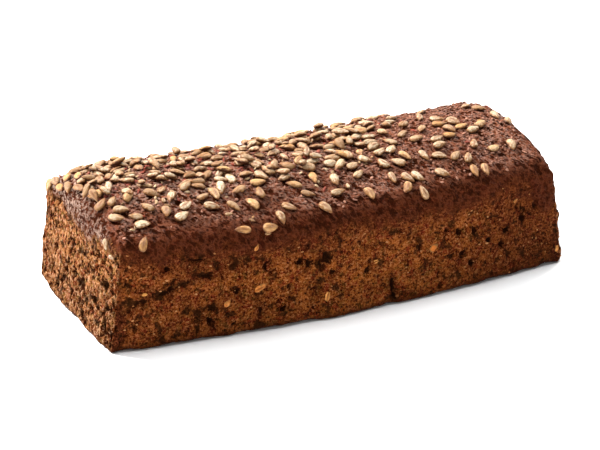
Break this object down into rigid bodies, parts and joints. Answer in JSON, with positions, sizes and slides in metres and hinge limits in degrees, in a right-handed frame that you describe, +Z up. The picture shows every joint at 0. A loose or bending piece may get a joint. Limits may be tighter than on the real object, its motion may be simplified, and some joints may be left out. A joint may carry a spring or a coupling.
{
  "type": "rye bread loaf",
  "caption": "Whole tin-baked rye loaf with a flat base, near-upright porous walls and a domed dark crust topped with sunflower kernels.",
  "frame": {"origin": "middle of the flat base, at the centre of the loaf's box in plan", "axes": "+X along the loaf, +Y towards its back wall, +Z up through the crust"},
  "size_m": [0.2786, 0.1194, 0.0779],
  "materials": {
    "crust": null,
    "kernel": null
  },
  "bodies": {
    "root": {"loaf": "crust"}
  },
  "joints": []
}
